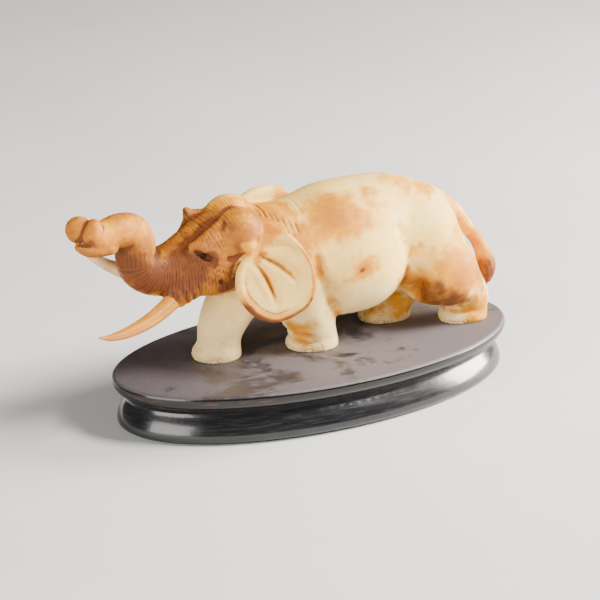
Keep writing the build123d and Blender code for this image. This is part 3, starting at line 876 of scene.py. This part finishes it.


# Stain on the carving, and one patch of painted shade round the near eye: (centre, radii, strength).
TAN_PATCHES = [
    ((-0.2, -15.0, 75.6), (18, 14, 13), 0.95),
    ((-5.0, -12.0, 79.5), (18, 12, 10), 0.6),
    ((-14.5, -15.0, 70.5), (9, 12, 12), 0.8),
    ((-12.0, -19.0, 62.0), (7, 10, 12), 0.85),
    ((10.0, -17.0, 74.0), (14, 11, 10), 0.5),
    ((-22.0, -4.0, 75.5), (11, 14, 11), 1.0),
    ((-35.5, -16.0, 66.5), (6, 8, 5), 0.85),
    ((20.4, -9.0, 79.0), (9, 9, 7), 0.55),
    ((36.1, -3.0, 80.0), (12, 9, 5), 0.75),
    ((48.1, -3.0, 75.0), (10, 8, 6), 0.55),
    ((31.6, -17.0, 63.1), (7, 8, 8), 0.5),
    ((36.2, -17.0, 54.0), (4.5, 6, 5), 0.8),
    ((34.0, -15.0, 45.0), (4, 8, 14), 0.55),
    ((53.5, -17.0, 44.0), (16, 11, 13), 1.0),
    ((61.8, -12.0, 40.0), (12, 12, 14), 1.3),
    ((50.2, -15.0, 36.0), (19, 12, 9), 1.3),
    ((43.5, -17.0, 40.0), (9, 9, 10), 1.3),
    ((37.6, -17.0, 41.9), (6, 8, 6), 1.0),
    ((66.0, -9.0, 29.0), (10, 10, 10), 1.1),
    ((67.0, -9.0, 22.0), (11, 10, 6), 0.85),
    ((58.0, -8.0, 56.0), (8, 8, 9), 0.4),
    ((7.2, -20.0, 53.1), (9, 8, 6.5), 0.75),
    ((7.2, -20.0, 53.6), (3.0, 5, 2.4), 1.1),
    ((13.9, -19.5, 51.5), (1.6, 4, 1.2), 0.9),
    ((28.5, -16.0, 46.5), (1.2, 4, 1.0), 0.9),
    ((-3.2, -14.0, 47.0), (7, 9, 14), 0.35),
    ((40.0, 4.0, 28.0), (14, 12, 9), 0.7),
    ((1.0, -10.0, 35.0), (8, 8, 6), 0.45),
    ((-10.6, -10.0, 31.8), (9, 7, 6), 0.6),
    ((-12.0, -8.0, 24.0), (6, 7, 5), 0.4),
    ((-2.0, -9.0, 21.5), (10, 6, 3), 0.3),
    ((-38.0, -2.0, 46.0), (8, 8, 3), 0.5),
    ((74.5, 1.5, 51.5), (6, 6, 12), 1.15),
    ((81.0, 0.5, 36.0), (7, 7, 11), 1.4),
    ((20.0, 20.0, 66.0), (18, 8, 10), 0.6),
    ((48.0, 22.0, 46.0), (13, 8, 9), 0.7),
    ((60.0, 16.0, 36.0), (9, 8, 9), 0.9),
    ((-8.0, 21.0, 58.0), (8, 8, 12), 0.7),
    ((34.0, 16.0, 73.0), (12, 9, 6), 0.5),
    ((0.0, 16.0, 76.0), (13, 10, 9), 0.7),
]
BROWN_PATCHES = [
    ((81.2, -1.0, 35.0), (7, 7, 9), 1.1),
    ((63.0, -13.0, 36.5), (10, 9, 10), 0.95),
    ((51.0, -16.0, 33.0), (16, 11, 7), 1.1),
    ((43.5, -17.0, 38.5), (8, 9, 8), 1.1),
    ((39.0, -17.0, 39.5), (5, 8, 5), 0.6),
    ((34.5, -15.0, 43.5), (2.6, 8, 10), 0.6),
    ((6.9, -21.0, 53.4), (2.0, 4, 1.4), 1.2),
    ((-43.6, -11.5, 52.5), (5.5, 6, 5.5), 1.35),
    # Painted shade round the near eye's socket.
    ((-52.0, -10.0, 67.0), (5.0, 5, 3.6), 1.3),
    ((-41.0, -10.0, 75.0), (5, 6, 5), 0.7),
    ((-70.0, -4.0, 60.0), (15, 12, 11), 1.1),
    ((-82.0, -4.0, 66.0), (10, 13, 13), 1.25),
    ((-62.0, -8.0, 62.0), (14, 12, 13), 1.15),
    ((-97.0, -6.0, 77.2), (4, 4, 2.2), 0.9),
    ((-91.0, -5.0, 74.0), (7, 5, 3), 0.7),
    ((-40.0, -12.0, 58.0), (8, 6, 9), 0.9),
]
# The purplish-brown hollow down the middle of the forehead.
FOREHEAD_BAND = [
    (-37.5, -2.0, 80.0), (-44.0, -2.4, 77.2), (-51.0, -2.8, 74.0), (-57.5, -3.8, 70.6), (-63.0, -5.0, 67.4),
]
TAIL_LINE = [(58.6, 1.5, 66.6), (66.0, 2.0, 60.0), (74.0, 1.8, 52.0), (80.0, 1.2, 42.0)]
# Painted shade: dark lines in the two eye sockets and in the gap between tail and thigh.
NEAR_SOCKET_SHADE = [(-54.6, -8.2, 68.6), (-52.8, -8.9, 67.2), (-51.0, -9.6, 66.2)]
FAR_SOCKET_SHADE = [(-49.0, 10.4, 68.0), (-47.2, 11.2, 66.6), (-45.4, 12.0, 65.6)]
TAIL_GAP_SHADE = [
    (63.5, -0.3, 59.4), (66.2, -1.4, 55.2), (69.4, -2.4, 50.6), (71.9, -3.0, 46.0), (73.8, -3.2, 41.1),
]
# How much wider than their table the patches spread, and how far brown follows the warp of tan.
TAN_SPREAD, BROWN_SPREAD, BROWN_WARP = 1.3, 1.25, 0.7


def stained(points, patches, spread):
    """The strongest patch of stain over each point."""
    amount = np.zeros(len(points))
    for centre, radii, strength in patches:
        amount = np.maximum(amount, strength * blob(points, centre, np.multiply(radii, spread)))
    return amount


def head_stain(points, near_ear):
    """Where the head is, and how tan and brown its face is between the paler places."""
    x, _, z = points.T
    head = smooth_step(-26.0, -31.0, x - 0.25 * (z - 72.0))
    head = head * smooth_step(41.0, 50.0, z + 0.25 * (x + 45)) * (1 - near_ear)
    curl_root = 0.8 * blob(points, (-79.0, -4.0, 82.0), (11, 9, 7))
    curl_tip = 0.8 * blob(points, (-92.0, -4.0, 81.0), (14, 9, 8))
    dome = 0.9 * blob(points, (-35.0, 7.0, 83.0), (13, 11, 9))
    pale = np.maximum(curl_root, curl_tip) + dome
    temple = 0.8 * blob(points, (-33.0, -13.0, 68.0), (6, 7, 6))
    golden = 0.7 * blob(points, (-44.0, -12.0, 62.0), (9, 8, 7))
    golden = golden + 0.8 * blob(points, (-77.0, -8.0, 66.0), (5, 8, 13))
    golden = golden + 0.6 * blob(points, (-52.0, -8.0, 53.0), (10, 8, 4))
    tan = head * (1.2 - 0.45 * np.clip(pale, 0, 1))
    brown = head * 0.55 * (1 - 0.75 * np.clip(pale + temple + golden, 0, 1))
    return head, tan, brown


def stain_wander(points, seed):
    """How far the stain's edges stray along one axis, in millimetres."""
    return lattice_noise(points, 7.0, seed) * 3.2 + lattice_noise(points, 2.6, seed + 3) * 1.3


def wood_stain(points, marks, hollow):
    """How tan and how brown each point is."""
    x, _, z = points.T
    wander = np.column_stack([stain_wander(points, seed) for seed in (51, 52, 53)])
    tan = stained(points + wander, TAN_PATCHES, TAN_SPREAD)
    brown = stained(points + BROWN_WARP * wander, BROWN_PATCHES, BROWN_SPREAD)
    brown = np.maximum(brown, 1.35 * line_mark(points, FOREHEAD_BAND, 3.6))
    head, head_tan, head_brown = head_stain(points, marks["ear"])
    tan, brown = np.maximum(tan, head_tan), np.maximum(brown, head_brown)
    tan = np.maximum(tan, 0.85 * line_mark(points, TAIL_LINE, 4.6) * smooth_step(56.0, 62.0, x))
    throat = smooth_step(50.5, 46.0, z - 0.30 * (x + 45.0)) * smooth_step(-24.0, -30.0, x)
    tan, brown = tan * (1 - 0.8 * throat), brown * (1 - 0.9 * throat)
    # Along the pleats this tan is stain with painted shade.
    for name, strength in (("ear_edge", 1.1), ("ear_low", 0.5), ("pleat_stain_and_shade", 0.5), ("ear_top", 1.0)):
        tan = np.maximum(tan, marks[name] * strength)
    brown = np.maximum(brown, marks["ear_edge"] ** 2 * 0.95 * smooth_step(-6.0, -10.0, z - 60.0))
    hollow = hollow * (1 - 0.8 * throat)
    tan = tan + (0.22 - 0.06 * marks["ear"]) * hollow
    brown = brown + (0.08 + 0.8 * head) * (1 - 0.6 * marks["ear"]) * hollow
    far_ear = blob(points, (-14.0, 16.5, 76.5), (16, 7, 7))
    return tan * (1 - 0.75 * far_ear), brown * (1 - far_ear)


def dark_lines(points, marks):
    """How dark each line is: stain left in the cut lines, a dark line inside each ear's rolled rim, and
    painted shade along the ear's pleats, in the eye sockets and in the gap between tail and thigh.
    """
    dark = marks["pleat_stain_and_shade"] * 0.62 + marks["rim"] * 0.6 + 1.1 * marks["neck"] + 0.8 * marks["cheek"]
    for name, strength in (("nails", 0.7), ("skin", 0.6), ("rings", 1.05)):
        dark = np.maximum(dark, marks[name] * strength)
    # The eye sockets and the gap between tail and thigh are painted shade.
    for line, width, strength in ((NEAR_SOCKET_SHADE, 1.45, 1.3), (FAR_SOCKET_SHADE, 1.7, 1.3), (TAIL_GAP_SHADE, 1.3, 1.1)):
        dark = np.maximum(dark, strength * line_mark(points, line, width))
    return dark


def paint(mesh, points, marks, hollow):
    """Stores what the wood's material reads: how tan, brown and dark each place is."""
    drift = (
        lattice_noise(points, 9.0, 21) * 0.5
        + lattice_noise(points, 3.5, 22) * 0.32
        + lattice_noise(points, 1.4, 23) * 0.22
    )
    tan, brown = wood_stain(points, marks, hollow)
    channels = {
        "tan": np.clip(tan + drift * 0.75 * np.clip(tan * 2, 0.35, 1), 0, 1.4),
        "brown": np.clip(brown + drift * 0.45 * np.clip(brown * 2, 0, 1), 0, 1.6),
        "dark": np.clip(dark_lines(points, marks), 0, 1),
    }
    for name, values in channels.items():
        layer = mesh.attributes.new(name, "FLOAT", "POINT")
        layer.data.foreach_set("value", np.asarray(values, np.float32))


# ------------------------------------------------------------------ materials


class Look:
    """A small helper that wires a node material."""

    def __init__(self, name):
        self.material = bpy.data.materials.new(name)
        self.material.use_nodes = True
        self.tree = self.material.node_tree
        self.shader = self.tree.nodes["Principled BSDF"]

    def node(self, kind, **values):
        made = self.tree.nodes.new(kind)
        for key, value in values.items():
            if hasattr(made, key):
                setattr(made, key, value)
            else:
                made.inputs[key.replace("_", " ")].default_value = value
        return made

    def join(self, source, target):
        self.tree.links.new(source, target)

    def attribute(self, name):
        return self.node("ShaderNodeAttribute", attribute_name=name).outputs["Fac"]

    def position(self, scale=(1.0, 1.0, 1.0)):
        place = self.node("ShaderNodeTexCoord").outputs["Object"]
        mapping = self.node("ShaderNodeMapping")
        mapping.inputs["Scale"].default_value = scale
        self.join(place, mapping.inputs["Vector"])
        return mapping.outputs["Vector"]

    def noise(self, where, scale, detail=4.0, rough=0.55, twist=0.0):
        made = self.node("ShaderNodeTexNoise")
        made.inputs["Scale"].default_value = scale
        made.inputs["Detail"].default_value = detail
        made.inputs["Roughness"].default_value = rough
        made.inputs["Distortion"].default_value = twist
        self.join(where, made.inputs["Vector"])
        return made.outputs["Fac"]

    def maths(self, operation, a, b=None, c=None):
        made = self.node("ShaderNodeMath", operation=operation)
        for socket, value in zip(made.inputs, (a, b, c)):
            if value is None:
                continue
            if hasattr(value, "is_output"):
                self.join(value, socket)
            else:
                socket.default_value = value
        return made.outputs[0]

    def spread(self, value, low, high, to_low=0.0, to_high=1.0):
        """Maps low..high onto to_low..to_high with soft ends."""
        made = self.node("ShaderNodeMapRange")
        made.interpolation_type = "SMOOTHSTEP"
        self.join(value, made.inputs["Value"])
        limits = (("From Min", low), ("From Max", high), ("To Min", to_low), ("To Max", to_high))
        for key, number in limits:
            made.inputs[key].default_value = number
        return made.outputs["Result"]

    def mix(self, factor, a, b):
        made = self.node("ShaderNodeMix", data_type="RGBA", blend_type="MIX")
        for socket, value in ((made.inputs[0], factor), (made.inputs[6], a), (made.inputs[7], b)):
            if hasattr(value, "is_output"):
                self.join(value, socket)
            elif isinstance(value, tuple):
                socket.default_value = (*value, 1.0)
            else:
                socket.default_value = value
        return made.outputs[2]

    def bump(self, height, distance, strength=1.0):
        made = self.node("ShaderNodeBump")
        made.inputs["Strength"].default_value = strength
        made.inputs["Distance"].default_value = distance
        self.join(height, made.inputs["Height"])
        return made.outputs["Normal"]

    def finish(self, colour=None, rough=None, normal=None, **plain):
        inputs = self.shader.inputs
        for value, socket in ((colour, "Base Color"), (rough, "Roughness"), (normal, "Normal")):
            if value is None:
                continue
            if hasattr(value, "is_output"):
                self.join(value, inputs[socket])
            else:
                inputs[socket].default_value = value
        for key, value in plain.items():
            inputs[key.replace("_", " ")].default_value = value
        return self.material


# Colours of the stained wood, from the bare body to the bottom of the cut lines; umber also paints the shade
# in the eye sockets, the ear's pleats and the tail's gap.
CREAM = (0.97, 0.67, 0.20)
CREAM_DEEP = (0.93, 0.56, 0.12)
PALE = (0.97, 0.76, 0.40)
GOLD = (0.72, 0.295, 0.008)
TAN = (0.55, 0.185, 0.010)
BROWN = (0.160, 0.046, 0.013)
UMBER = (0.045, 0.012, 0.006)


def heights(look, where):
    """The X, Y and Z of a place, as three outputs."""
    split = look.node("ShaderNodeSeparateXYZ")
    look.join(where, split.inputs[0])
    return split.outputs


def shifted(look, noise, amount, base):
    """A value nudged up and down by a noise."""
    return look.maths("MULTIPLY_ADD", look.maths("SUBTRACT", noise, 0.5), amount, base)


def elephant_look():
    """Pale wood, stained through the painted amounts of tan, brown and dark, all with cloudy edges; part of
    the dark is painted shade.
    """
    look = Look("stained_pale_wood")
    where = look.position()
    cloud = look.noise(where, 90.0, 5.0, 0.6, 0.4)
    speck = look.noise(where, 420.0, 6.0, 0.65)
    grain = look.noise(look.position((0.35, 1.0, 1.0)), 700.0, 3.0, 0.5)
    colour = look.mix(look.spread(cloud, 0.35, 0.72), CREAM, CREAM_DEEP)
    legs = look.spread(heights(look, where)[2], 0.054, 0.034, 0.0, 0.65)
    colour = look.mix(legs, colour, PALE)
    wobble = shifted(look, speck, 0.45, look.attribute("tan"))
    wobble = shifted(look, cloud, 0.45, wobble)
    colour = look.mix(look.spread(wobble, 0.08, 0.75), colour, GOLD)
    colour = look.mix(look.spread(wobble, 0.65, 1.25), colour, TAN)
    deep = shifted(look, speck, 0.8, look.attribute("brown"))
    colour = look.mix(look.spread(deep, 0.15, 1.15), colour, BROWN)
    lines = shifted(look, speck, 0.35, look.attribute("dark"))
    colour = look.mix(look.spread(lines, 0.1, 1.1, 0.0, 0.75), colour, UMBER)
    colour = look.mix(look.spread(grain, 0.3, 0.7, 0.0, 0.10), colour, UMBER)
    rough = look.spread(cloud, 0.3, 0.7, 0.46, 0.6)
    height = look.maths("MULTIPLY_ADD", grain, 0.3, speck)
    normal = look.bump(height, 0.00012, 0.35)
    return look.finish(colour, rough, normal, Specular_IOR_Level=0.16)


def tusk_look(name, light, shade):
    look = Look(name)
    where = look.position((0.3, 1.0, 1.0))
    cloud = look.noise(where, 160.0, 5.0, 0.6, 0.3)
    grain = look.noise(where, 900.0, 4.0, 0.6)
    colour = look.mix(look.spread(cloud, 0.35, 0.68), light, shade)
    colour = look.mix(look.spread(grain, 0.42, 0.72, 0.0, 0.45), colour, TAN)
    normal = look.bump(grain, 0.0001, 0.3)
    rough = look.spread(cloud, 0.3, 0.7, 0.3, 0.4)
    return look.finish(colour, rough, normal, Coat_Weight=0.2, Coat_Roughness=0.25)


def eye_look():
    look = Look("eye_bead")
    fleck = look.noise(look.position(), 1500.0, 3.0)
    colour = look.mix(look.spread(fleck, 0.4, 0.7), (0.008, 0.003, 0.002), (0.022, 0.007, 0.003))
    return look.finish(colour, look.spread(fleck, 0.3, 0.7, 0.25, 0.35), Specular_IOR_Level=0.2)


def stand_top_look():
    """Black lacquer under grey dust, wiped dark by fingers in places, with a clean glossy edge."""
    look = Look("dusty_black_lacquer")
    where = look.position()
    along, _, height = heights(look, where)
    lies_flat = look.spread(height, 0.0189, 0.0197)
    broad = look.noise(where, 26.0, 6.0, 0.62, 0.9)
    smear = look.noise(look.position((1.0, 1.6, 1.0)), 75.0, 5.0, 0.7, 1.2)
    dust = look.noise(where, 900.0, 5.0, 0.7)
    blend = look.maths("MULTIPLY_ADD", smear, 0.45, broad)
    wiped = look.spread(blend, 0.58, 0.72)
    colour = look.mix(wiped, (0.021, 0.018, 0.018), (0.112, 0.095, 0.100))
    head_end = look.spread(along, -0.080, 0.010, 0.75, 0.0)
    colour = look.mix(head_end, colour, (0.046, 0.037, 0.044))
    colour = look.mix(look.spread(dust, 0.5, 0.8, 0.0, 0.35), colour, (0.24, 0.21, 0.20))
    colour = look.mix(lies_flat, (0.0045, 0.004, 0.004), colour)
    worn = look.noise(look.position((2.0, 2.0, 6.0)), 60.0, 4.0, 0.7)
    above, below = look.spread(height, 0.0166, 0.0172), look.spread(height, 0.0184, 0.0176)
    band = look.maths("MULTIPLY", above, below)
    rubbed = look.maths("MULTIPLY", band, look.spread(worn, 0.56, 0.66, 0.0, 0.55))
    colour = look.mix(rubbed, colour, (0.12, 0.022, 0.012))
    matt = look.spread(wiped, 0.0, 1.0, 0.42, 0.72)
    rough = look.maths("MULTIPLY_ADD", lies_flat, look.maths("SUBTRACT", matt, 0.16), 0.16)
    normal = look.bump(look.maths("MULTIPLY", dust, lies_flat), 0.00012, 0.35)
    return look.finish(colour, rough, normal)


def plinth_look():
    """Glossy black lacquer with fine brush streaks running round it."""
    look = Look("glossy_black_lacquer")
    where = look.position((0.25, 0.25, 3.2))
    streak = look.noise(where, 420.0, 4.0, 0.6)
    cloud = look.noise(look.position(), 60.0, 4.0)
    colour = look.mix(look.spread(streak, 0.4, 0.7), (0.008, 0.008, 0.009), (0.022, 0.022, 0.025))
    rough = look.maths("MULTIPLY_ADD", streak, 0.10, look.spread(cloud, 0.3, 0.7, 0.12, 0.20))
    normal = look.bump(streak, 0.00005, 0.25)
    return look.finish(colour, rough, normal, Coat_Weight=0.3, Coat_Roughness=0.1)


def simple_look(name, one, two, scale, rough, metallic=0.0, grain=(1.0, 1.0, 1.0)):
    look = Look(name)
    where = look.position(grain)
    mottled = look.noise(where, scale, 6.0, 0.65)
    colour = look.mix(look.spread(mottled, 0.35, 0.7), one, two)
    normal = look.bump(mottled, 0.0002, 0.4)
    sheen = look.spread(mottled, 0.3, 0.7, rough - 0.06, rough + 0.06)
    return look.finish(colour, sheen, normal, Metallic=metallic)


def wear(thing, material):
    thing.data.materials.clear()
    thing.data.materials.append(material)


# ------------------------------------------------------------------ the pieces


def refine(thing, wanted):
    """Splits the faces whose corners are all in wanted into four."""
    work = bmesh.new()
    work.from_mesh(thing.data)
    work.verts.ensure_lookup_table()
    edges = [e for e in work.edges if wanted[e.verts[0].index] and wanted[e.verts[1].index]]
    bmesh.ops.subdivide_edges(work, edges=edges, cuts=1, use_grid_fill=True)
    work.to_mesh(thing.data)
    work.free()
    thing.data.polygons.foreach_set("use_smooth", np.ones(len(thing.data.polygons), bool))
    thing.data.update()


def vertex_points(mesh):
    """Every vertex, in millimetres."""
    flat = np.zeros(len(mesh.vertices) * 3, np.float32)
    mesh.vertices.foreach_get("co", flat)
    return flat.reshape(-1, 3).astype(float) / MM


def detailed(points):
    """Where the carving has fine tool work: head, trunk, ears, feet, tail."""
    x, y, z = points.T
    head = x < -22.0
    ears = np.abs(y - MID_Y) > 17.5
    feet = z < 26.5
    tail = (x > 76.0) & (np.abs(y - 1.0) < 6.0)
    return head | (ears & (x < 8)) | feet | tail


def build_elephant():
    """Sculpts the clay, meshes it, engraves it along its normals and paints it."""
    clay = sculpt()
    points, quads = skin_mesh(clay, 2)
    points = settle(clay, points)
    thing = mesh_object("elephant_carving", points, quads)
    refine(thing, detailed(points))
    points = settle(clay, vertex_points(thing.data), 2)
    normals = clay.slope(points)
    depth, marks = carve(points, normals)
    fine, broad = clay.hollow(points, 1.2), clay.hollow(points, 3.0)
    hollow = np.clip(smooth_step(-0.02, 0.55, fine) + 0.5 * smooth_step(0.0, 0.30, broad), 0, 1.2)
    hollow *= smooth_step(STAND_TOP + 0.4, STAND_TOP + 3.0, points[:, 2])
    sole = smooth_step(STAND_TOP + 0.05, STAND_TOP + 0.6, points[:, 2])
    points = points - normals * (depth * sole)[:, None]
    points[:, 2] = np.maximum(points[:, 2], STAND_TOP)
    thing.data.vertices.foreach_set("co", (points * MM).astype(np.float32).ravel())
    thing.data.update()
    paint(thing.data, points, marks, hollow)
    return thing


elephant = build_elephant()
wear(elephant, elephant_look())
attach(elephant, "root")
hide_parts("elephant")

left_tusk = tapered("left_tusk_carving", LEFT_TUSK)
wear(left_tusk, tusk_look("left_tusk_wood", (0.74, 0.31, 0.016), (0.52, 0.17, 0.008)))
right_tusk = tapered("right_tusk_carving", RIGHT_TUSK)
wear(right_tusk, tusk_look("right_tusk_wood", (0.82, 0.62, 0.34), (0.70, 0.44, 0.18)))
for side, tusk in (("left", left_tusk), ("right", right_tusk)):
    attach(tusk, "root")
    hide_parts(side + "_tusk")


def bead(name, centre):
    place = Vector(centre) * MM
    bpy.ops.mesh.primitive_uv_sphere_add(segments=32, ring_count=16, radius=BEAD_RADIUS * MM, location=place)
    thing = bpy.context.object
    thing.name = name
    bpy.ops.object.shade_smooth()
    return thing


bead_material = eye_look()
for side, centre in EYE_CENTRE.items():
    eye = bead(side + "_eye_bead", centre)
    wear(eye, bead_material)
    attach(eye, "root")
    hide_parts(side + "_eye")

wear(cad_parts["stand_top"], stand_top_look())
wear(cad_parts["stand_plinth"], plinth_look())
peg_wood = simple_look("peg_wood", (0.42, 0.25, 0.10), (0.52, 0.33, 0.15), 500.0, 0.6, grain=(1, 1, 0.2))
wear(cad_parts["foot_pegs"], peg_wood)
screw_steel = simple_look("screw_steel", (0.42, 0.42, 0.43), (0.55, 0.55, 0.56), 800.0, 0.35, metallic=1.0)
wear(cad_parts["stand_screws"], screw_steel)
green_felt = simple_look("green_felt", (0.008, 0.05, 0.022), (0.018, 0.085, 0.04), 1600.0, 0.92)
wear(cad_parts["felt_base"], green_felt)


# ------------------------------------------------------------------ camera, light and floor

# The photo's camera: its turn and rise in degrees, its place in metres, its lens in millimetres.
CAMERA_TURN, CAMERA_RISE = -31.04, 20.0
CAMERA_PLACE = (-0.4381, -0.7170, 0.3430)
CAMERA_LENS, SENSOR_WIDTH = 139.5, 36.0
# What the lamps point at, in metres.
LAMP_AIM = (0, 0, 0.05)
WORLD_COLOUR, WORLD_STRENGTH = (0.96, 0.95, 0.94, 1), 0.10


def make_camera():
    turn, rise = radians(CAMERA_TURN), radians(CAMERA_RISE)
    back = Vector((sin(turn) * cos(rise), -cos(turn) * cos(rise), sin(rise)))
    right = Vector((cos(turn), sin(turn), 0.0))
    up = back.cross(right)
    data = bpy.data.cameras.new("camera")
    data.sensor_width = SENSOR_WIDTH
    data.lens = CAMERA_LENS
    data.clip_start = 0.01
    camera = bpy.data.objects.new("camera", data)
    turn_matrix = Matrix((right, up, back)).transposed().to_4x4()
    camera.matrix_world = Matrix.Translation(Vector(CAMERA_PLACE)) @ turn_matrix
    bpy.context.scene.collection.objects.link(camera)
    bpy.context.scene.camera = camera


def softbox(name, place, size, power, colour):
    data = bpy.data.lights.new(name, "AREA")
    data.shape = "RECTANGLE"
    data.size, data.size_y = size
    data.energy = power
    data.color = colour
    lamp = bpy.data.objects.new(name, data)
    lamp.location = place
    lamp.rotation_euler = (Vector(LAMP_AIM) - Vector(place)).to_track_quat("-Z", "Y").to_euler()
    bpy.context.scene.collection.objects.link(lamp)


make_camera()
softbox("right_box", (0.95, -0.22, 0.30), (0.45, 0.45), 46.0, (1.0, 0.95, 0.88))
softbox("high_box", (0.50, -0.50, 0.80), (0.35, 0.35), 24.0, (1.0, 0.96, 0.91))
softbox("left_box", (-0.95, -0.45, 0.35), (0.80, 0.60), 14.0, (1.0, 0.97, 0.93))
bpy.ops.mesh.primitive_plane_add(size=6.0, location=(0, 0, 0))
floor = bpy.context.object
floor.name = "floor"
wear(floor, simple_look("pale_floor", (0.70, 0.70, 0.70), (0.72, 0.72, 0.72), 8.0, 0.7))
world = bpy.data.worlds.new("studio")
bpy.context.scene.world = world
world.use_nodes = True
world.node_tree.nodes["Background"].inputs[0].default_value = WORLD_COLOUR
world.node_tree.nodes["Background"].inputs[1].default_value = WORLD_STRENGTH
